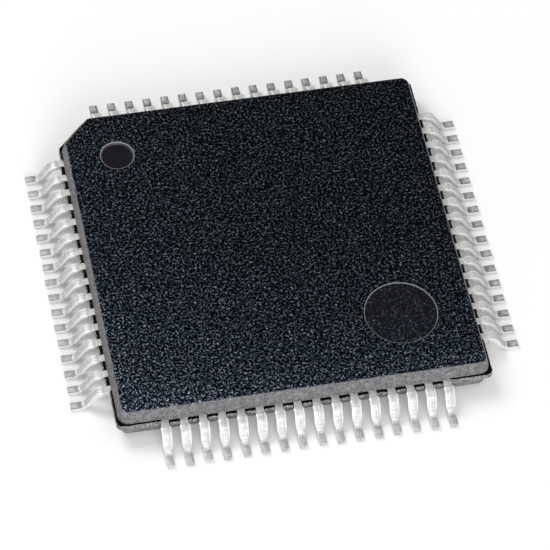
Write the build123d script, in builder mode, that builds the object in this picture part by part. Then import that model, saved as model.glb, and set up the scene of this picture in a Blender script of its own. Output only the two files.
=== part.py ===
from build123d import *
from math import radians, sqrt, tan
import os

# Thin quad flat package, 64 gull-wing leads, all sizes in millimetres.
# The seating plane is Z = 0, the chamfered index corner is at -X +Y, and leads are numbered
# counter-clockwise from it: left side, front, right, back.

# Moulded body, its side set by the rows of leads and the room past their end leads
row_margin = 1.25
body_thickness = 1.0
standoff = 0.10
draft_angle = 12.0
corner_chamfer = 0.18
index_corner_chamfer = 0.80
rim_radius = 0.04

# Round marks that the mould leaves in the faces
index_dimple_diameter = 1.0
index_dimple_depth = 0.07
index_dimple_inset = 1.525
top_ejector_diameter = 1.94
top_ejector_inset = 2.065
base_ejector_diameter = 1.4
ejector_depth = 0.025
base_ejector_inset = 2.2
mark_wall_taper = 25.0

# Resin flash left between the leads where the dam bar was punched out
flash_reach = 0.10
flash_taper = 0.04
flash_end_margin = 0.12

# Lead frame
leads_per_side = 16
leads_per_node = 4
lead_pitch = 0.50
lead_thickness = 0.127

# Plan of one lead outside the body, reaches measured from the body face
neck_width = 0.21
neck_length = 0.11
shoulder_width = 0.275
shoulder_step = 0.05
shoulder_reach = 0.42
foot_width = 0.20
waist_reach = 0.54

# Side view of one lead, 12.0 from toe to toe over the whole package
shoulder_flat = 0.194
bend_radius = 0.12
bend_facets = 3
leg_angle = 62.0
foot_length = 0.30

# Plan of one lead inside the body
finger_width = 0.16
finger_pitch = 0.313
pad_to_finger_gap = 0.30

# Die pad and the four tie bars that held it in the frame
pad_side = 5.0
pad_downset = 0.20
tie_bar_width = 0.20
tie_bar_ramp_start = 0.10
tie_bar_ramp_length = 0.25

# Silicon die on its adhesive
die_side = 3.4
die_thickness = 0.28
attach_thickness = 0.025
attach_margin = 0.05

# Bond wires
wire_width = 0.03
wire_rise = 0.15
wire_inset = 0.10
wire_pitch = 0.20
stitch_inset = 0.12
stitch_length = 0.08

# Heights and half sizes worked out from the above
body_side = (leads_per_side - 1) * lead_pitch + 2 * row_margin
body_half = body_side / 2
body_top = standoff + body_thickness
lead_bottom = standoff + (body_thickness - lead_thickness) / 2
lead_top = lead_bottom + lead_thickness
finger_tip = pad_side / 2 + pad_to_finger_gap
pad_bottom = lead_bottom - pad_downset
pad_top = pad_bottom + lead_thickness
die_bottom = pad_top + attach_thickness
die_top = die_bottom + die_thickness

# Turn about Z that takes a row on the right side to the left, front, right and back sides
side_turns = [180, 270, 0, 90]
index_diagonal = Axis((0, 0, 0), (-1, 1, 0))

os.makedirs("parts", exist_ok=True)


def spread(index, pitch):
    """Place of one of a side's leads, counted from the middle of the row."""
    return (index - (leads_per_side - 1) / 2) * pitch


def upright_plane(origin, direction):
    """Vertical plane whose X is the given level direction and whose Y is up."""
    return Plane(origin=origin, x_dir=direction, z_dir=direction.cross(Vector(0, 0, 1)))


def chord_points(path):
    """Points of a path whose arcs are cut into a few chords."""
    points = []
    for edge in path.edges():
        chords = bend_facets if edge.geom_type == GeomType.CIRCLE else 1
        points += [edge @ (step / chords) for step in range(chords)]
    return [*points, path @ 1]


def make_lead(index):
    """One lead of the right side: gull wing outside, flat finger running in to the die pad."""
    root = spread(index, lead_pitch)
    tip = spread(index, finger_pitch)
    outer_radius = bend_radius + lead_thickness
    half_turn = tan(radians(leg_angle / 2))
    knee = body_half + shoulder_flat + bend_radius * half_turn
    heel = knee + lead_bottom / tan(radians(leg_angle))
    toe = heel + outer_radius * half_turn + foot_length
    stations = [
        (body_half, neck_width),
        (body_half + neck_length, neck_width),
        (body_half + neck_length + shoulder_step, shoulder_width),
        (body_half + shoulder_reach, shoulder_width),
        (body_half + waist_reach, foot_width),
        (toe, foot_width),
    ]
    near_edge = [(reach, root - width / 2) for reach, width in stations]
    far_edge = [(reach, root + width / 2) for reach, width in reversed(stations)]
    finger_end = [(finger_tip, tip + finger_width / 2), (finger_tip, tip - finger_width / 2)]
    underside = FilletPolyline(
        (finger_tip, lead_bottom),
        (knee, lead_bottom),
        (heel, 0),
        (toe, 0),
        radius=[bend_radius, outer_radius],
    )
    with BuildPart() as lead:
        with BuildSketch(Plane.XZ.offset(-root)):
            with BuildLine():
                Polyline(*chord_points(underside))
                offset(amount=lead_thickness, side=Side.LEFT, kind=Kind.INTERSECTION)
            make_face()
        extrude(amount=body_half, both=True)
        with BuildSketch():
            Polygon(*near_edge, *far_edge, *finger_end, align=None)
        extrude(amount=lead_top, mode=Mode.INTERSECT)
    return lead.part


def make_bond_wire(index):
    """One wire of the right side, from the die's edge over to the finger of its lead."""
    finger_run = body_half - finger_tip
    finger_shift = spread(index, lead_pitch) - spread(index, finger_pitch)
    stitch_place = spread(index, finger_pitch) + finger_shift * stitch_inset / finger_run
    start = Vector(die_side / 2 - wire_inset, spread(index, wire_pitch), die_top)
    end = Vector(finger_tip + stitch_inset, stitch_place, die_top)
    length = (end - start).length
    landing = lead_top - die_top + wire_width
    with BuildPart() as wire:
        with BuildSketch(upright_plane(start, (end - start).normalized())):
            with BuildLine():
                Polyline(
                    (-wire_width / 2, 0),
                    (-wire_width / 2, wire_rise),
                    (length, landing),
                    (length + stitch_length, landing),
                )
                offset(amount=wire_width, side=Side.RIGHT, kind=Kind.INTERSECTION)
            make_face()
        extrude(amount=wire_width / 2, both=True)
    return wire.part


# Outline of the body at its parting plane, with the large chamfer at the index corner
with BuildSketch() as parting_outline:
    Rectangle(body_side, body_side)
    chamfer(parting_outline.vertices().sort_by(index_diagonal)[-1], index_corner_chamfer)
    plain_corners = parting_outline.vertices().sort_by(index_diagonal)[:3]
    chamfer(plain_corners, corner_chamfer)

# Leads and wires of one side, turned round to the other three
side_leads = [make_lead(index) for index in range(leads_per_side)]
side_wires = [make_bond_wire(index) for index in range(leads_per_side)]
leads = [Rotation(0, 0, turn) * lead for turn in side_turns for lead in side_leads]
bond_wires = [Rotation(0, 0, turn) * wire for turn in side_turns for wire in side_wires]

# Die pad with its tie bars, set down below the leads and cut flush with the body's corners
with BuildPart() as die_pad:
    with BuildSketch(Plane.XY.offset(pad_bottom)):
        Rectangle(pad_side, pad_side)
    extrude(amount=lead_thickness)
    pad_corner = pad_side / 2 * sqrt(2)
    ramp_start = pad_corner + tie_bar_ramp_start
    for turn in side_turns:
        diagonal = Vector(1, 1, 0).rotate(Axis.Z, turn).normalized()
        with BuildSketch(upright_plane((0, 0, 0), diagonal)):
            with BuildLine():
                Polyline(
                    (pad_corner - tie_bar_width, pad_bottom),
                    (ramp_start, pad_bottom),
                    (ramp_start + tie_bar_ramp_length, lead_bottom),
                    (body_half * sqrt(2), lead_bottom),
                )
                offset(amount=lead_thickness, side=Side.LEFT, kind=Kind.INTERSECTION)
            make_face()
        extrude(amount=tie_bar_width / 2, both=True)
    with BuildSketch():
        add(parting_outline.sketch)
    extrude(amount=lead_top, mode=Mode.INTERSECT)

# Adhesive layer, a little wider than the die
with BuildPart() as die_attach:
    with BuildSketch(Plane.XY.offset(pad_top)):
        Rectangle(die_side + 2 * attach_margin, die_side + 2 * attach_margin)
    extrude(amount=attach_thickness)

# Silicon die
with BuildPart() as silicon_die:
    with BuildSketch(Plane.XY.offset(die_bottom)):
        Rectangle(die_side, die_side)
    extrude(amount=die_thickness)

# Upper half of the moulding, and its mirror image below the belt
with BuildPart() as mould_half:
    with BuildSketch(Plane.XY.offset(lead_top)):
        add(parting_outline.sketch)
    extrude(amount=body_top - lead_top, taper=draft_angle)
    fillet(mould_half.faces().sort_by(Axis.Z)[-1].edges(), rim_radius)

# Flash between neighbouring leads and from the end leads towards the corners
with BuildSketch(Plane.XY.offset(lead_bottom)) as flash:
    for side, turn in enumerate(side_turns):
        for gap in range(leads_per_side + 1):
            start = spread(gap - 1, lead_pitch) + neck_width / 2
            end = spread(gap, lead_pitch) - neck_width / 2
            if gap == 0:
                corner = index_corner_chamfer if side == 0 else corner_chamfer
                start = corner + flash_end_margin - body_half
            if gap == leads_per_side:
                corner = index_corner_chamfer if side == 3 else corner_chamfer
                end = body_half - corner - flash_end_margin
            nub_corners = [
                (body_half - flash_reach, start),
                (body_half, start),
                (body_half + flash_reach, start + flash_taper),
                (body_half + flash_reach, end - flash_taper),
                (body_half, end),
                (body_half - flash_reach, end),
            ]
            Polygon(*[Vector(place).rotate(Axis.Z, turn) for place in nub_corners], align=None)

# Moulded body: the two halves on a belt as thick as the leads
with BuildPart() as moulded_body:
    with BuildSketch(Plane.XY.offset(lead_bottom)):
        add(parting_outline.sketch)
        add(flash.sketch)
    extrude(amount=lead_thickness)
    add(mould_half.part)
    mirror(mould_half.part, about=Plane.XY.offset((lead_bottom + lead_top) / 2))

    # Index dimple and ejector mark in the top, two ejector marks in the base
    with BuildSketch(Plane.XY.offset(body_top)):
        with Locations((index_dimple_inset - body_half, body_half - index_dimple_inset)):
            Circle(index_dimple_diameter / 2)
    extrude(amount=-index_dimple_depth, taper=mark_wall_taper, mode=Mode.SUBTRACT)
    with BuildSketch(Plane.XY.offset(body_top)):
        with Locations((body_half - top_ejector_inset, top_ejector_inset - body_half)):
            Circle(top_ejector_diameter / 2)
    extrude(amount=-ejector_depth, taper=mark_wall_taper, mode=Mode.SUBTRACT)
    base_mark = body_half - base_ejector_inset
    with BuildSketch(Plane.XY.offset(standoff)):
        with Locations((base_mark, base_mark), (-base_mark, -base_mark)):
            Circle(base_ejector_diameter / 2)
    extrude(amount=ejector_depth, taper=mark_wall_taper, mode=Mode.SUBTRACT)

    # Room for everything that the resin was moulded round
    embedded = [*leads, *bond_wires, die_pad.part, die_attach.part, silicon_die.part]
    add(embedded, mode=Mode.SUBTRACT)

moulded_body.part.label = "moulded_body"
export_step(moulded_body.part, "parts/moulded_body.step")
die_pad.part.label = "die_pad"
export_step(die_pad.part, "parts/die_pad.step")
die_attach.part.label = "die_attach"
export_step(die_attach.part, "parts/die_attach.step")
silicon_die.part.label = "silicon_die"
export_step(silicon_die.part, "parts/silicon_die.step")

for first in range(0, len(leads), leads_per_node):
    numbers = f"{first + 1:02d}_{first + leads_per_node:02d}"
    lead_group = Compound(leads[first : first + leads_per_node], label=f"leads_{numbers}")
    export_step(lead_group, f"parts/leads_{numbers}.step")
    wire_group = Compound(bond_wires[first : first + leads_per_node], label=f"bond_wires_{numbers}")
    export_step(wire_group, f"parts/bond_wires_{numbers}.step")
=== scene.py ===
import math
import random

import bpy
import bmesh
import numpy as np
from mathutils import Matrix, Vector


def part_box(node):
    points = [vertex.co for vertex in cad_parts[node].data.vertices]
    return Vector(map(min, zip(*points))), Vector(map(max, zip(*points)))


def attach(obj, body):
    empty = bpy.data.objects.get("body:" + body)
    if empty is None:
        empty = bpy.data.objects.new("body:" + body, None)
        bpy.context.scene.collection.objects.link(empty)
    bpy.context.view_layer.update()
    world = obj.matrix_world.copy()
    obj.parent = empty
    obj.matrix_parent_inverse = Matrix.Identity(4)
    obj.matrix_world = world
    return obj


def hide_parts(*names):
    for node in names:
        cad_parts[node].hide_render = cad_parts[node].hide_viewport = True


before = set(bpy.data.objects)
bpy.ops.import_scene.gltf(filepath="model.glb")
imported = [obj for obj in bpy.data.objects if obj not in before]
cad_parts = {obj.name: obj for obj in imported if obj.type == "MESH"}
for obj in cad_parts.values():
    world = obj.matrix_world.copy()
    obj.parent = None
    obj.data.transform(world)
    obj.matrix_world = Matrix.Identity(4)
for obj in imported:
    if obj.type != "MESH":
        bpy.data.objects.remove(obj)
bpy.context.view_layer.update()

# Sizes in millimetres, as in the part's source, and metres only where a mesh is written
MM = 0.001
body_low, body_high = (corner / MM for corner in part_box("moulded_body"))
lead_low, lead_high = (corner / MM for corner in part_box("leads_33_36"))
lead_thickness = 0.127
lead_top = lead_high.z
lead_bottom = lead_top - lead_thickness
lead_middle = lead_top - lead_thickness / 2
leads_per_side = 16
leads_per_node = 4
lead_pitch = 0.50
finger_pitch = 0.313
finger_tip = lead_low.x
toe_reach = lead_high.x
neck_width = 0.21

# Turn about Z that takes the right side to the left, front, right and back sides
side_turns = [math.radians(turn) for turn in (180, 270, 0, 90)]


def spread(index, pitch):
    """Place of one of a side's leads, counted from the middle of the row."""
    return (index - (leads_per_side - 1) / 2) * pitch


def turned(points, turn):
    """Points of the right side turned about Z to another side."""
    c, s = math.cos(turn), math.sin(turn)
    return [(c * x - s * y, s * x + c * y, z) for x, y, z in points]


def in_metres(points):
    return [(x * MM, y * MM, z * MM) for x, y, z in points]


def linked_object(name, data):
    made = bpy.data.objects.new(name, data)
    bpy.context.scene.collection.objects.link(made)
    return made


def mesh_object(name, points, faces, material):
    """Object with a mesh given in millimetres."""
    mesh = bpy.data.meshes.new(name)
    mesh.from_pydata(in_metres(points), [], faces)
    mesh.validate()
    mesh.materials.append(material)
    return linked_object(name, mesh)


# Camera

photo_azimuth = math.radians(-15.06)
photo_elevation = math.radians(54.0)
photo_roll = math.radians(4.47)
camera_distance = 95.0
camera_shift_right = 0.19
camera_shift_up = -0.32
sensor_width = 36.0
focal_pixels = 3532.0
image_pixels = 550.0
clip_range_metres = 0.005, 10.0


def make_camera():
    """Camera at the place and angle from which the photograph was taken."""
    back = Vector((math.sin(photo_azimuth) * math.cos(photo_elevation),
                   -math.cos(photo_azimuth) * math.cos(photo_elevation),
                   math.sin(photo_elevation)))
    level_right = Vector((math.cos(photo_azimuth), math.sin(photo_azimuth), 0.0))
    level_up = back.cross(level_right)
    right = level_right * math.cos(photo_roll) + level_up * math.sin(photo_roll)
    up = level_up * math.cos(photo_roll) - level_right * math.sin(photo_roll)
    place = back * camera_distance + right * camera_shift_right + up * camera_shift_up
    facing = Matrix((right, up, back)).transposed().to_4x4()
    camera = linked_object("camera", bpy.data.cameras.new("camera"))
    camera.matrix_world = Matrix.Translation(place * MM) @ facing
    camera.data.sensor_width = sensor_width
    camera.data.lens = focal_pixels * sensor_width / image_pixels
    camera.data.clip_start, camera.data.clip_end = clip_range_metres
    bpy.context.scene.camera = camera


# Node helpers

def grey(value):
    return value, value, value


def new_material(name):
    """Material with nothing but its output node."""
    material = bpy.data.materials.new(name)
    material.use_nodes = True
    nodes = material.node_tree.nodes
    nodes.clear()
    output = nodes.new("ShaderNodeOutputMaterial")
    return material, material.node_tree, output


def node(tree, kind, inputs=None, **settings):
    """New node with its settings, and its inputs given as values or as sockets to link."""
    made = tree.nodes.new(kind)
    for key, value in settings.items():
        setattr(made, key, value)
    for key, value in (inputs or {}).items():
        if isinstance(value, bpy.types.NodeSocket):
            tree.links.new(value, made.inputs[key])
        else:
            made.inputs[key].default_value = value
    return made


def math_node(tree, operation, a, b=0.0, c=0.0, clamp=False):
    made = node(tree, "ShaderNodeMath", {0: a, 1: b, 2: c}, operation=operation, use_clamp=clamp)
    return made.outputs[0]


def noise_node(tree, coordinates, size_mm, detail=2.0, roughness=0.5, distortion=0.0):
    """Noise whose coarsest blobs have about the given size."""
    made = node(tree, "ShaderNodeTexNoise", {
        "Vector": coordinates, "Scale": 1.0 / (size_mm * MM), "Detail": detail,
        "Roughness": roughness, "Distortion": distortion})
    return made.outputs["Fac"]


def ramp_node(tree, factor, stops):
    """Colour ramp through stops of position and colour."""
    made = node(tree, "ShaderNodeValToRGB", {"Fac": factor})
    elements = made.color_ramp.elements
    while len(elements) < len(stops):
        elements.new(0.5)
    for element, (position, color) in zip(elements, stops):
        element.position = position
        element.color = (*color, 1.0)
    return made.outputs["Color"]


def mix_values(tree, factor, a, b):
    return node(tree, "ShaderNodeMix", {0: factor, 2: a, 3: b}, data_type="FLOAT").outputs[0]


def mix_colors(tree, factor, a, b):
    made = node(tree, "ShaderNodeMix", {"Factor": factor, "A": a, "B": b}, data_type="RGBA")
    return made.outputs["Result"]


def attribute_node(tree, name):
    return node(tree, "ShaderNodeAttribute", attribute_name=name).outputs["Fac"]


def object_place(tree):
    return node(tree, "ShaderNodeTexCoord").outputs["Object"]


def normal_height(tree):
    """Z of the surface's normal, 1 where it looks straight up."""
    normal = node(tree, "ShaderNodeNewGeometry").outputs["Normal"]
    return node(tree, "ShaderNodeSeparateXYZ", {"Vector": normal}).outputs["Z"]


def range_node(tree, value, low, high, to_low=0.0, to_high=1.0):
    """Value carried from one range to another, held at the ends."""
    made = node(tree, "ShaderNodeMapRange", {
        "Value": value, "From Min": low, "From Max": high, "To Min": to_low, "To Max": to_high})
    return made.outputs["Result"]


# Moulding compound

# Lightness of the pebbles, and the distance from the middle at which their painted sheen ends
top_tone = 2.95
painted_sheen_edge = 4.8
pebble_size = 0.058
# Near-black of the flash's top: the compound's black darkened by painted shade of the crease along the
# parting line
flash_top_shadow_black = (0.0030, 0.0030, 0.0034, 1.0)
# Grey of a painted highlight on the lip of the round marks
lip_highlight_grey = (0.300, 0.300, 0.305, 1.0)
mould_bump_depth = 0.02


def pebble_color(tree, place, pebble):
    """Speckles of the flat faces, with a painted sheen that makes them lighter towards the front and the
    left edge.
    """
    speckles = ramp_node(tree, pebble, [
        (0.42, (0.0001, 0.0003, 0.0006)), (0.50, (0.0038, 0.0066, 0.0100)),
        (0.57, (0.0190, 0.0270, 0.0365)), (0.65, (0.0800, 0.1020, 0.1230)),
        (0.75, (0.2500, 0.2850, 0.3200))])
    split = node(tree, "ShaderNodeSeparateXYZ", {"Vector": place})
    edge = painted_sheen_edge * MM
    # Painted sheen: the speckles grow lighter towards the front and the left edge, light put into the
    # colour
    front_sheen = ramp_node(tree, range_node(tree, split.outputs["Y"], -edge, edge), [
        (0.0, grey(0.95)), (0.08, grey(0.62)), (0.22, grey(0.46)), (0.5, grey(0.32)), (1.0, grey(0.27))])
    left_sheen = ramp_node(tree, range_node(tree, split.outputs["X"], -edge, edge), [
        (0.0, grey(1.0)), (0.12, grey(0.78)), (0.4, grey(0.60)), (1.0, grey(0.50))])
    shade = math_node(tree, "MULTIPLY", front_sheen, left_sheen)
    shade = math_node(tree, "MULTIPLY", shade, top_tone)
    shaded = node(tree, "ShaderNodeVectorMath", {0: speckles, "Scale": shade}, operation="SCALE")
    return shaded.outputs["Vector"]


def flash_color(tree, side_tone, fine, normal_z):
    """Grey of the flash's cut edge, with paler specks on its bevel that are partly broken resin and
    partly a painted highlight.
    """
    edge = ramp_node(tree, side_tone, [
        (0.38, (0.060, 0.060, 0.060)), (0.50, (0.170, 0.170, 0.168)), (0.62, (0.480, 0.480, 0.470))])
    # Paler specks of the flash's top outer bevel: broken resin and a painted highlight
    bevel_specks_and_highlight = ramp_node(tree, fine, [(0.42, (0.060, 0.060, 0.058)), (0.60, (0.400, 0.400, 0.390))])
    bevel = math_node(tree, "COMPARE", normal_z, 0.62, 0.32)
    return mix_colors(tree, bevel, edge, bevel_specks_and_highlight)


def flat_face_mask(tree, steepness, ragged):
    """1 on the flat faces and 0 on the sides, with a ragged border on the rounded rim."""
    off_flat = range_node(tree, steepness, 1.0, 0.85, 0.0, 0.30)
    wander = math_node(tree, "MULTIPLY", math_node(tree, "SUBTRACT", ragged, 0.5), off_flat)
    return range_node(tree, math_node(tree, "ADD", steepness, wander), 0.70, 0.90)


def mould_material():
    """Black moulding compound: pebbled on the faces that look up or down, smoother on the sides, which
    are painted grey as a reflection of the bright surroundings.
    """
    material, tree, output = new_material("mould_compound")
    place = object_place(tree)
    normal_z = normal_height(tree)
    steepness = math_node(tree, "ABSOLUTE", normal_z)
    flash, polish, lip = (attribute_node(tree, name) for name in ("flash", "polish", "lip"))
    pebble = noise_node(tree, place, pebble_size, detail=2.0, roughness=0.55, distortion=0.5)
    ragged = noise_node(tree, place, 0.10, detail=3.0)
    grain = noise_node(tree, place, 0.11, detail=4.0, roughness=0.65)
    fine = noise_node(tree, place, 0.045, detail=2.0, roughness=0.6)
    side_tone = math_node(tree, "MULTIPLY_ADD", grain, 0.5, math_node(tree, "MULTIPLY", fine, 0.5))
    face_mask = flat_face_mask(tree, steepness, ragged)

    smooth_color = ramp_node(tree, ragged, [
        (0.3, (0.0035, 0.0032, 0.0060)), (0.7, (0.0070, 0.0066, 0.0105))])
    top_color = mix_colors(tree, polish, pebble_color(tree, place, pebble), smooth_color)
    # The flash's top takes the near-black with painted crease shade
    top_color = mix_colors(tree, flash, top_color, flash_top_shadow_black)
    # Grey of the sides: the compound's black lightened by a painted reflection of the bright
    # surroundings, mottled by the grain
    side_sheen_color = ramp_node(tree, side_tone, [
        (0.36, (0.080, 0.080, 0.083)), (0.50, (0.160, 0.160, 0.166)), (0.64, (0.270, 0.270, 0.276))])
    side_sheen_color = mix_colors(tree, flash, side_sheen_color, flash_color(tree, side_tone, fine, normal_z))
    side_sheen_color = mix_colors(tree, polish, side_sheen_color, smooth_color)
    color = mix_colors(tree, face_mask, side_sheen_color, top_color)
    # Painted highlight along the lip of the round marks, broken up by noise
    lip_highlight = math_node(tree, "MULTIPLY", lip, range_node(tree, ragged, 0.3, 0.6, 0.5, 1.0))
    color = mix_colors(tree, lip_highlight, color, lip_highlight_grey)

    rough_part = math_node(tree, "SUBTRACT", face_mask, polish, clamp=True)
    height = math_node(tree, "MULTIPLY_ADD", math_node(tree, "MULTIPLY", pebble, rough_part), 1.0,
                       math_node(tree, "MULTIPLY", side_tone, 0.25))
    bump = node(tree, "ShaderNodeBump", {
        "Height": height, "Strength": 0.7, "Distance": mould_bump_depth * MM})
    gloss = mix_values(tree, face_mask, 0.10, range_node(tree, pebble, 0.50, 0.70, 0.0, 0.25))
    gloss = mix_values(tree, polish, gloss, range_node(tree, steepness, 0.95, 0.85, 0.05, 0.60))
    shader = node(tree, "ShaderNodeBsdfPrincipled", {
        "Base Color": color, "Roughness": math_node(tree, "MULTIPLY_ADD", grain, 0.3, 0.36),
        "Normal": bump.outputs["Normal"], "Specular IOR Level": gloss})
    tree.links.new(shader.outputs[0], output.inputs["Surface"])
    return material


# Tin plating

# Painted highlight along both edges of each lead: the span across the lead where it fades in, and its
# colour
edge_highlight_band = 0.082, 0.105
edge_highlight_color = (0.84, 0.84, 0.825, 1.0)
tin_bump_depth = 0.006
tin_metallic = 0.30


def lead_noise(tree, across_scale, along_scale, lead_scale, detail):
    """Noise drawn out along or across the leads, and different on each of them."""
    scales = {"X": ("across", across_scale), "Y": ("along", along_scale), "Z": ("dull", lead_scale)}
    place = node(tree, "ShaderNodeCombineXYZ", {
        axis: math_node(tree, "MULTIPLY", attribute_node(tree, name), scale)
        for axis, (name, scale) in scales.items()})
    made = node(tree, "ShaderNodeTexNoise", {
        "Vector": place.outputs["Vector"], "Scale": 1.0, "Detail": detail})
    return made.outputs["Fac"]


def foot_finish(tree, cloud, off_middle):
    """Where the dull flat of a foot shows, and its colour: cloudy stains, darker along its edges, and
    painted shade in the crease at the heel.
    """
    heel = math_node(tree, "MULTIPLY_ADD", cloud, 0.10, attribute_node(tree, "reach"))
    shown = range_node(tree, heel, foot_start - 0.045, foot_start - 0.010)
    shown = math_node(tree, "MULTIPLY", shown, range_node(tree, normal_height(tree), 0.72, 0.86))
    foot_darkening = range_node(tree, attribute_node(tree, "dull"), 0.0, 1.0, 0.25, 1.0)
    shown = math_node(tree, "MULTIPLY", shown, foot_darkening)
    rim = range_node(tree, off_middle, 0.055, 0.095)
    # Painted shade in the crease at the heel end of the flat; the edges are darker too
    heel_crease_shade = range_node(tree, heel, foot_start + 0.14, foot_start + 0.02)
    stain_and_shade = math_node(tree, "MULTIPLY", math_node(tree, "MAXIMUM", rim, heel_crease_shade), 0.45)
    stain_and_shade = math_node(tree, "MULTIPLY_ADD", cloud, 0.9, stain_and_shade)
    color = ramp_node(tree, stain_and_shade, [
        (0.30, (0.440, 0.440, 0.430)), (0.55, (0.260, 0.260, 0.250)), (0.85, (0.090, 0.090, 0.088))])
    return shown, color


def tin_material():
    """Matte tin plating with drawn streaks and a painted highlight along its edges; duller, stained and
    darker on the flat of the feet, with painted shade in the heel crease.
    """
    material, tree, output = new_material("tin_plating")
    place = object_place(tree)
    off_middle = math_node(tree, "ABSOLUTE", attribute_node(tree, "across"))
    grain = noise_node(tree, place, 0.05, detail=3.0, roughness=0.6)
    cloud = noise_node(tree, place, 0.13, detail=2.0)
    streaks = lead_noise(tree, 34.0, 3.0, 57.0, detail=2.0)
    ribs = lead_noise(tree, 2.0, 17.0, 91.0, detail=1.5)

    tone = math_node(tree, "MULTIPLY_ADD", streaks, 0.35, math_node(tree, "MULTIPLY", grain, 0.35))
    tone = math_node(tree, "MULTIPLY_ADD", ribs, 0.30, tone)
    plating = ramp_node(tree, tone, [
        (0.38, (0.360, 0.361, 0.346)), (0.50, (0.480, 0.481, 0.467)), (0.62, (0.645, 0.647, 0.632))])
    # Painted highlight along the lead's edges
    edge_highlight = math_node(tree, "MULTIPLY", range_node(tree, off_middle, *edge_highlight_band), 0.6)
    plating = mix_colors(tree, edge_highlight, plating, edge_highlight_color)
    foot, foot_color = foot_finish(tree, cloud, off_middle)
    color = mix_colors(tree, foot, plating, foot_color)

    height = math_node(tree, "MULTIPLY_ADD", ribs, 0.8, grain)
    bump = node(tree, "ShaderNodeBump", {
        "Height": height, "Strength": 0.5, "Distance": tin_bump_depth * MM})
    shader = node(tree, "ShaderNodeBsdfPrincipled", {
        "Base Color": color, "Metallic": tin_metallic,
        "Roughness": math_node(tree, "MULTIPLY_ADD", grain, 0.25, 0.33),
        "Normal": bump.outputs["Normal"]})
    tree.links.new(shader.outputs[0], output.inputs["Surface"])
    return material


# Finishes of the sealed pieces

def grained_material(name, dark, light, size_mm, metallic, roughness):
    """Plain finish for a hidden inner piece, with a little grain in its colour and gloss."""
    material, tree, output = new_material(name)
    grain = noise_node(tree, object_place(tree), size_mm, detail=3.0)
    color = ramp_node(tree, grain, [(0.35, dark), (0.65, light)])
    gloss = math_node(tree, "MULTIPLY_ADD", grain, 0.2, roughness)
    shader = node(tree, "ShaderNodeBsdfPrincipled", {
        "Base Color": color, "Metallic": metallic, "Roughness": gloss})
    tree.links.new(shader.outputs[0], output.inputs["Surface"])
    return material


def dress_inner_pieces():
    """Finishes of the sealed pieces, which keep their CAD shapes."""
    finishes = {
        "die_pad": grained_material(
            "frame_copper", (0.50, 0.26, 0.16), (0.72, 0.42, 0.29), 0.3, 1.0, 0.30),
        "die_attach": grained_material(
            "silver_epoxy", (0.38, 0.38, 0.37), (0.60, 0.60, 0.58), 0.08, 0.5, 0.5),
        "silicon_die": grained_material(
            "silicon", (0.10, 0.11, 0.14), (0.20, 0.21, 0.25), 0.5, 0.7, 0.12),
        "bond_wires": grained_material(
            "gold_wire", (0.75, 0.52, 0.16), (0.90, 0.68, 0.28), 0.1, 1.0, 0.18),
    }
    for name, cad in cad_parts.items():
        for key, material in finishes.items():
            if name.startswith(key):
                cad.data.materials.clear()
                cad.data.materials.append(material)


# Moulded body

# Plan of the body at its belt, as the photograph shows it
body_half = 4.94
plain_corner_radius = 0.30
smallest_corner_radius = 0.04
index_corner_chamfer = 0.80
index_corner_radius = 0.15
plain_arc_points = 10
index_arc_points = 5
outline_step = 0.06

# Section of one half, from the belt up to the flat face
draft_angle = math.radians(12.0)
belt_edge_rise = 0.012
belt_edge_inset = 0.008
rim_radius = 0.10
rim_steps = 8
flat_border = 0.04
body_sharp_angle = math.radians(38)

# Round marks of the top, keyed 1, and of the base, keyed -1
index_dimple = {
    "x": -3.52, "y": 3.44, "radius": 0.445, "depth": 0.07, "lip": 0.026, "wall": 0.035, "polish": 1.0}
top_ejector = {
    "x": 2.935, "y": -2.935, "radius": 0.965, "depth": 0.025, "lip": 0.016, "wall": 0.014,
    "polish": 0.65}
base_ejectors = [
    {"x": place, "y": place, "radius": 0.70, "depth": 0.025, "lip": 0.03, "wall": 0.02, "polish": 0.35}
    for place in (2.8, -2.8)]
marks = {1: [index_dimple, top_ejector], -1: base_ejectors}
mark_points = 112
lip_rings = 2, 3


def plan_corners(inset, plain_radius, index_cut=index_corner_chamfer):
    """Corners of the body's plan at an inset, each with its radius and number of arc points."""
    half = body_half - inset
    cut = index_cut - (2 - math.sqrt(2)) * inset
    plain = max(plain_radius - inset, smallest_corner_radius), plain_arc_points
    index = index_corner_radius, index_arc_points
    return [(Vector((half, -half)), *plain), (Vector((half, half)), *plain),
            (Vector((cut - half, half)), *index), (Vector((-half, half - cut)), *index),
            (Vector((-half, -half)), *plain)]


def corner_arc(before, corner, after, radius, count):
    """Points of the arc that rounds a corner between its two neighbours."""
    to_before, to_after = (before - corner).normalized(), (after - corner).normalized()
    half_angle = to_before.angle(to_after) / 2
    center = corner + (to_before + to_after).normalized() * (radius / math.sin(half_angle))
    start = corner + to_before * (radius / math.tan(half_angle)) - center
    sweep = math.pi - 2 * half_angle
    arc = []
    for k in range(count):
        a = sweep * k / (count - 1)
        c, s = math.cos(a), math.sin(a)
        arc.append(center + Vector((c * start.x - s * start.y, s * start.x + c * start.y)))
    return arc


def dense_outline(inset, plain_radius=plain_corner_radius, index_cut=index_corner_chamfer):
    """The plan as arcs round its corners and evenly spaced points along its sides."""
    corners = plan_corners(inset, plain_radius, index_cut)
    count = len(corners)
    arcs = [corner_arc(corners[i - 1][0], corner, corners[(i + 1) % count][0], radius, points)
            for i, (corner, radius, points) in enumerate(corners)]
    reference = plan_corners(0.0, plain_corner_radius)
    outline = []
    for i, arc in enumerate(arcs):
        following = arcs[(i + 1) % count]
        side = (reference[(i + 1) % count][0] - reference[i][0]).length
        steps = max(1, round(side / outline_step))
        outline += arc + [arc[-1].lerp(following[0], k / steps) for k in range(1, steps)]
    return outline


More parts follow.
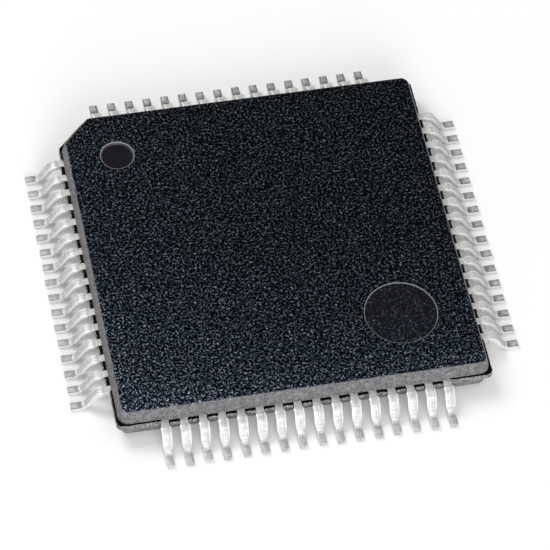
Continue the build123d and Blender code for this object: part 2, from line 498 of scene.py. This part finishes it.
def half_profile():
    """Height above the belt's edge and inset of each ring of one half, up to the flat face."""
    height = body_high.z - lead_top
    draft = math.tan(draft_angle)
    rim_start = height - rim_radius * (1 - math.sin(draft_angle))
    center_inset = rim_start * draft + rim_radius * math.cos(draft_angle)
    rings = [(0.0, 0.0), (belt_edge_rise, belt_edge_inset)]
    rings += [(rim_start * t, rim_start * t * draft) for t in (0.25, 0.5, 0.75)]
    for k in range(rim_steps + 1):
        a = draft_angle + (math.pi / 2 - draft_angle) * k / rim_steps
        rings.append((height - rim_radius + rim_radius * math.sin(a),
                      center_inset - rim_radius * math.cos(a)))
    rings.append((height, center_inset + flat_border))
    return rings


def band(low, high, count):
    """Faces between two closed rings of points, given by their first points."""
    return [(low + i, low + (i + 1) % count, high + (i + 1) % count, high + i) for i in range(count)]


def add_sides(points, faces):
    """Drafted sides with their rounded rims. Gives the lower and the upper face's border."""
    upper = half_profile()
    stack = [(lead_bottom - z, inset) for z, inset in reversed(upper)]
    stack += [(lead_top + z, inset) for z, inset in upper]
    for z, inset in stack:
        points += [(p.x, p.y, z) for p in dense_outline(inset)]
    count = len(points) // len(stack)
    for ring in range(len(stack) - 1):
        faces += band(ring * count, (ring + 1) * count, count)
    return list(range(count)), list(range(len(points) - count, len(points)))


def mark_rings(mark):
    """Radius and depth of the rings of a round mark, from the flat face in to its floor."""
    radius, depth, lip, wall = (mark[key] for key in ("radius", "depth", "lip", "wall"))
    return [(radius + lip + flat_border, 0.0), (radius + lip, 0.0), (radius + lip * 0.6, -lip * 0.10),
            (radius + lip * 0.1, -lip * 0.45), (radius - lip * 0.15, -lip * 0.9),
            (radius - wall * 0.7, -depth + wall * 0.35), (radius - wall, -depth + wall * 0.10),
            (radius - wall * 1.5, -depth), (radius - wall * 1.5 - flat_border, -depth)]


def add_mark(points, faces, mark, side):
    """Round mark in one flat face. Gives the rings of points, from the outer one to the floor."""
    face_z = body_high.z if side == 1 else body_low.z
    rings = []
    for radius, sink in mark_rings(mark):
        rings.append(list(range(len(points), len(points) + mark_points)))
        for k in range(mark_points):
            a = 2 * math.pi * k / mark_points * side
            points.append((mark["x"] + radius * math.cos(a), mark["y"] + radius * math.sin(a),
                           face_z + side * sink))
    for outer, inner in zip(rings, rings[1:]):
        faces += band(outer[0], inner[0], mark_points)
    faces.append(tuple(rings[-1]))
    return rings


def paint_mark(skin, rings, polish):
    """Marks the lip, which gets a painted highlight, and the polished wall and floor of a round mark for
    the material.
    """
    polish_layer, lip_layer = (skin.verts.layers.float[name] for name in ("polish", "lip"))
    for number, ring in enumerate(rings):
        for index in ring:
            if number in lip_rings:
                skin.verts[index][lip_layer] = 1.0
            elif number > max(lip_rings):
                skin.verts[index][polish_layer] = polish


def fill_face(skin, loops, side):
    """Flat face between its border and the outer rings of its marks."""
    edges = []
    for loop in loops:
        for a, b in zip(loop, loop[1:] + loop[:1]):
            edges.append(skin.edges.get((skin.verts[a], skin.verts[b])))
    bmesh.ops.triangle_fill(skin, use_beauty=True, use_dissolve=False, edges=edges,
                            normal=Vector((0, 0, side)))


def make_body(material):
    """The moulding as one closed skin, with its flash as small blocks round the belt."""
    points, faces = [], []
    lower, upper = add_sides(points, faces)
    loops = {-1: [lower], 1: [upper]}
    painted = []
    for side, side_marks in marks.items():
        for mark in side_marks:
            rings = add_mark(points, faces, mark, side)
            loops[side].append(rings[0])
            painted.append((rings, mark["polish"]))

    mesh = bpy.data.meshes.new("moulded_body_skin")
    mesh.from_pydata(in_metres(points), [], faces)
    skin = bmesh.new()
    skin.from_mesh(mesh)
    for name in ("polish", "lip", "flash"):
        skin.verts.layers.float.new(name)
    skin.verts.ensure_lookup_table()
    for rings, polish in painted:
        paint_mark(skin, rings, polish)
    for side, side_loops in loops.items():
        fill_face(skin, side_loops, side)
    bmesh.ops.recalc_face_normals(skin, faces=skin.faces)
    add_flash(skin)
    skin.to_mesh(mesh)
    skin.free()
    mesh.materials.append(material)
    mesh.shade_smooth()
    mesh.set_sharp_from_angle(angle=body_sharp_angle)
    body = linked_object("moulded_body_skin", mesh)
    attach(body, "root")
    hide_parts("moulded_body")


# Flash

flash_root = 0.06
flash_overlap = 0.01
flash_drop = 0.006
flash_foot = 0.02
edge_wander = -0.005, 0.007
top_wander = -0.006, 0.006
bottom_wander = -0.006, 0.0
bevel_range = 0.012, 0.024

# Nubs between the leads: reach in the middle and at the horns beside the necks
nub_reach = 0.10
nub_horn_reach = 0.15
nub_horn_width = 0.045
nub_horn_power = 0.6
nub_rise = -0.016
nub_steps = 12

# Ledge round each corner
ledge_reach = 0.055
ledge_corner_radius = 0.17
ledge_index_cut = 0.735
ledge_rise = 0.030


def flash_strip(skin, path, rise, rng):
    """Strip of flash along a path of inner and outer points, with a broken outer edge."""
    layer = skin.verts.layers.float["flash"]
    rows = []
    for inner, outer in path:
        out = (outer - inner).normalized()
        edge = outer + out * rng.uniform(*edge_wander)
        top = lead_top + rise + rng.uniform(*top_wander)
        bottom = lead_bottom - flash_drop + rng.uniform(*bottom_wander)
        bevel = rng.uniform(*bevel_range)
        section = [(inner, bottom), (edge - out * flash_foot, bottom), (edge, bottom + flash_foot),
                   (edge, top - bevel), (edge - out * bevel, top), (inner, top)]
        row = []
        for p, z in section:
            vert = skin.verts.new((p.x * MM, p.y * MM, z * MM))
            vert[layer] = 1.0
            row.append(vert)
        rows.append(row)
    for low, high in zip(rows, rows[1:]):
        for k in range(len(low)):
            n = (k + 1) % len(low)
            skin.faces.new((low[k], low[n], high[n], high[k]))
    skin.faces.new(rows[0][::-1])
    skin.faces.new(rows[-1])


def nub_path(gap, turn):
    """Flash between two neighbouring leads: held back in the middle, with horns along the necks."""
    start = spread(gap - 1, lead_pitch) + neck_width / 2 - flash_overlap
    end = spread(gap, lead_pitch) - neck_width / 2 + flash_overlap
    path = []
    for step in range(nub_steps + 1):
        y = start + (end - start) * (step / nub_steps)
        off_horn = min(1.0, min(y - start, end - y) / nub_horn_width) ** nub_horn_power
        reach = nub_horn_reach - (nub_horn_reach - nub_reach) * off_horn
        inner, outer = turned([(body_half - flash_root, y, 0), (body_half + reach, y, 0)], turn)
        path.append((Vector(inner[:2]), Vector(outer[:2])))
    return path


def ledge_paths():
    """Flash round each corner of the belt, from one side's end lead to the next side's."""
    inner = dense_outline(flash_root)
    outer = dense_outline(-ledge_reach, ledge_corner_radius - ledge_reach, ledge_index_cut)
    end = -spread(0, lead_pitch) + neck_width / 2 - flash_overlap
    kept = [min(abs(p.x), abs(p.y)) > end for p in outer]
    count = len(outer)
    paths = []
    for i in range(count):
        if kept[i] and not kept[i - 1]:
            path = []
            while kept[i % count]:
                path.append((inner[i % count], outer[i % count]))
                i += 1
            paths.append(path)
    return paths


def add_flash(skin):
    """Nubs between neighbouring leads and a ledge round every corner."""
    rng = random.Random(11)
    before = set(skin.faces)
    for turn in side_turns:
        for gap in range(1, leads_per_side):
            flash_strip(skin, nub_path(gap, turn), nub_rise, rng)
    for path in ledge_paths():
        flash_strip(skin, path, ledge_rise, rng)
    bmesh.ops.recalc_face_normals(skin, faces=[f for f in skin.faces if f not in before])


# Leads

# Places of the cross-sections along the straight part, and the shares of the foot's length
straight_reaches = [finger_tip, finger_tip + 0.01, 3.8, 4.9, 5.0, 5.05, 5.10, 5.125, 5.15]
foot_shares = [0.2, 0.4, 0.6, 0.8, 0.95, 1.0]
shoulder_end = 5.175
upper_radius = 0.20
lower_radius = 0.255
leg_angle = math.radians(58.0)
bend_steps = 9
leg_steps = 5
edge_radius = 0.020
edge_steps = 3
lead_sharp_angle = math.radians(35)

# Reach and width of a lead: finger, neck, shoulder left by the dam bar, waist and foot
lead_widths = [
    (2.8, 0.16), (4.4, 0.17), (5.0, 0.21), (5.10, 0.21), (5.125, 0.225), (5.155, 0.280),
    (5.18, 0.272), (5.30, 0.268), (5.42, 0.270), (5.445, 0.276), (5.50, 0.240), (5.585, 0.188),
    (5.62, 0.190), (5.68, 0.222), (5.96, 0.222), (6.0, 0.208)]

# Unevenness from lead to lead
skew_spread = 0.006
stretch_spread = 0.006
width_wander = 0.002
dull_wander = 0.12

# How far the flat of the feet is darkened on the left, front, right and back sides
side_dullness = [0.55, 0.25, 0.90, 1.0]


def gull_path():
    """Centre line of a lead as stations of reach, height and downward slope."""
    stations = [(reach, lead_middle, 0.0) for reach in straight_reaches]
    for k in range(bend_steps + 1):
        a = leg_angle * k / bend_steps
        stations.append((shoulder_end + upper_radius * math.sin(a),
                         lead_middle - upper_radius * (1 - math.cos(a)), a))
    foot_height = lead_thickness / 2
    top_reach, top_height, _ = stations[-1]
    low_height = foot_height + lower_radius * (1 - math.cos(leg_angle))
    leg = (top_height - low_height) / math.sin(leg_angle)
    for k in range(1, leg_steps + 1):
        t = leg * k / leg_steps
        stations.append((top_reach + t * math.cos(leg_angle), top_height - t * math.sin(leg_angle),
                         leg_angle))
    leg_reach = stations[-1][0]
    for k in range(1, bend_steps + 1):
        a = leg_angle * (1 - k / bend_steps)
        stations.append((leg_reach + lower_radius * (math.sin(leg_angle) - math.sin(a)),
                         foot_height + lower_radius * (1 - math.cos(a)), a))
    start = stations[-1][0]
    stations += [(start + (toe_reach - start) * t, foot_height, 0.0) for t in foot_shares]
    return stations


lead_stations = gull_path()
foot_start = lead_stations[-len(foot_shares) - 1][0]


def rounded_section(half_width):
    """Offsets across and up of the points of a lead's section, a rectangle with rounded corners."""
    half_height = lead_thickness / 2
    section = []
    for side, level, quarter in ((1, 1, 0), (-1, 1, 1), (-1, -1, 2), (1, -1, 3)):
        for k in range(edge_steps):
            a = math.pi / 2 * (quarter + k / (edge_steps - 1))
            section.append((side * (half_width - edge_radius) + edge_radius * math.cos(a),
                            level * (half_height - edge_radius) + edge_radius * math.sin(a)))
    return section


def lead_rings(index, jitter):
    """Rings of points of one lead of the right side, and each point's place along and across it."""
    root, tip = spread(index, lead_pitch), spread(index, finger_pitch)
    skew, stretch = jitter.gauss(0, skew_spread), jitter.gauss(0, stretch_spread)
    reaches, widths = zip(*lead_widths)
    rings, places = [], []
    along, last = 0.0, lead_stations[0]
    for reach, height, slope in lead_stations:
        along += math.hypot(reach - last[0], height - last[1])
        last = reach, height
        outside = max(0.0, reach - body_half)
        inside = max(0.0, body_half - reach) / (body_half - finger_tip)
        center = root + (tip - root) * inside + skew * outside ** 2
        half_width = float(np.interp(reach, reaches, widths)) / 2
        half_width += jitter.uniform(-width_wander, width_wander) * min(1.0, outside * 10)
        reach += stretch * outside
        ring = []
        for y, z in rounded_section(half_width):
            ring.append((reach + z * math.sin(slope), center + y, height + z * math.cos(slope)))
            places.append((along, y, reach))
        rings.append(ring)
    return rings, places


def make_lead_group(side, group, material):
    """Four neighbouring leads, which stand for one CAD node."""
    points, faces, attributes = [], [], []
    for index in range(group * leads_per_node, (group + 1) * leads_per_node):
        jitter = random.Random(100 * side + index)
        dull = side_dullness[side] + jitter.uniform(-dull_wander, dull_wander)
        rings, places = lead_rings(index, jitter)
        attributes += [(*place, dull) for place in places]
        first, size = len(points), len(rings[0])
        for ring in rings:
            points += turned(ring, side_turns[side])
        last = len(points) - size
        for low in range(first, last, size):
            high = low + size
            faces += [(low + k, high + k, high + (k + 1) % size, low + (k + 1) % size)
                      for k in range(size)]
        faces.append(tuple(first + k for k in range(size)))
        faces.append(tuple(last + k for k in reversed(range(size))))
    number = side * leads_per_side + group * leads_per_node + 1
    label = f"{number:02d}_{number + leads_per_node - 1:02d}"
    piece = mesh_object(f"plated_leads_{label}", points, faces, material)
    for channel, name in enumerate(("along", "across", "reach", "dull")):
        layer = piece.data.attributes.new(name, "FLOAT", "POINT")
        layer.data.foreach_set("value", [values[channel] for values in attributes])
    clean = bmesh.new()
    clean.from_mesh(piece.data)
    bmesh.ops.recalc_face_normals(clean, faces=clean.faces)
    clean.to_mesh(piece.data)
    clean.free()
    piece.data.shade_smooth()
    piece.data.set_sharp_from_angle(angle=lead_sharp_angle)
    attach(piece, "root")
    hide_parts(f"leads_{label}")


def make_leads(material):
    for side in range(len(side_turns)):
        for group in range(leads_per_side // leads_per_node):
            make_lead_group(side, group, material)


# Floor, light and background

floor_half = 400.0
floor_cloud_size = 20.0
floor_lift = 0.12


def seen_or_reflected(tree):
    """1 for rays from the camera and for rays that a shiny or clear surface sends on."""
    path = node(tree, "ShaderNodeLightPath")
    seen = math_node(tree, "MAXIMUM", path.outputs["Is Camera Ray"], path.outputs["Is Glossy Ray"])
    return math_node(tree, "MAXIMUM", seen, path.outputs["Is Transmission Ray"])


def make_floor():
    """Pale floor, lifted to white for the camera and for reflections, that keeps the shadow."""
    material, tree, output = new_material("floor")
    cloud = noise_node(tree, object_place(tree), floor_cloud_size)
    tone = ramp_node(tree, cloud, [(0.3, grey(0.80)), (0.7, grey(0.82))])
    diffuse = node(tree, "ShaderNodeBsdfDiffuse", {"Color": tone})
    glow = node(tree, "ShaderNodeEmission", {"Color": (1, 1, 1, 1), "Strength": floor_lift})
    lifted = node(tree, "ShaderNodeAddShader", {0: diffuse.outputs[0], 1: glow.outputs[0]})
    choice = node(tree, "ShaderNodeMixShader", {
        0: seen_or_reflected(tree), 1: diffuse.outputs[0], 2: lifted.outputs[0]})
    tree.links.new(choice.outputs[0], output.inputs["Surface"])
    corners = [(x * floor_half, y * floor_half, 0) for x, y in ((-1, -1), (1, -1), (1, 1), (-1, 1))]
    floor = mesh_object("floor", corners, [(0, 1, 2, 3)], material)


def make_sky():
    """Soft light from all round, brightest low down in front, seen as plain white."""
    world = bpy.data.worlds.new("studio")
    bpy.context.scene.world = world
    world.use_nodes = True
    tree = world.node_tree
    tree.nodes.clear()
    output = tree.nodes.new("ShaderNodeOutputWorld")
    direction = node(tree, "ShaderNodeTexCoord").outputs["Generated"]
    split = node(tree, "ShaderNodeSeparateXYZ", {"Vector": direction})
    depth, height = split.outputs["Y"], split.outputs["Z"]
    frontness = math_node(tree, "MULTIPLY_ADD", depth, -0.40, height)
    sky = ramp_node(tree, range_node(tree, frontness, -0.4, 1.0), [
        (0.0, grey(0.45)), (1.0, (0.55, 0.55, 0.56))])
    low_down = ramp_node(tree, range_node(tree, height, 0.0, 0.6), [(0.0, grey(1.0)), (1.0, grey(0.0))])
    front = range_node(tree, depth, 0.3, -0.8, 0.0, 0.60)
    front_color = node(tree, "ShaderNodeCombineXYZ", {"X": front, "Y": front, "Z": front})
    sky = node(tree, "ShaderNodeVectorMath", {
        0: low_down, 1: front_color.outputs["Vector"], 2: sky}, operation="MULTIPLY_ADD")
    light = node(tree, "ShaderNodeBackground", {"Color": sky.outputs["Vector"], "Strength": 1.0})
    white = node(tree, "ShaderNodeBackground", {"Color": (1, 1, 1, 1), "Strength": 1.0})
    choice = node(tree, "ShaderNodeMixShader", {
        0: seen_or_reflected(tree), 1: light.outputs[0], 2: white.outputs[0]})
    tree.links.new(choice.outputs[0], output.inputs["Surface"])


def area_light(name, place, size, watts):
    """Square lamp that faces the chip, placed in millimetres."""
    data = bpy.data.lights.new(name, "AREA")
    data.shape = "SQUARE"
    data.size = size * MM
    data.energy = watts
    lamp = linked_object(name, data)
    lamp.location = Vector(place) * MM
    lamp.rotation_euler = (-Vector(place)).to_track_quat("-Z", "Y").to_euler()


make_camera()
make_floor()
make_sky()
area_light("key_light", place=(-52, 62, 120), size=70, watts=0.092)
area_light("front_light", place=(-5, -150, 60), size=100, watts=0.175)

make_body(mould_material())
make_leads(tin_material())
dress_inner_pieces()

bpy.context.scene.view_settings.view_transform = "Standard"
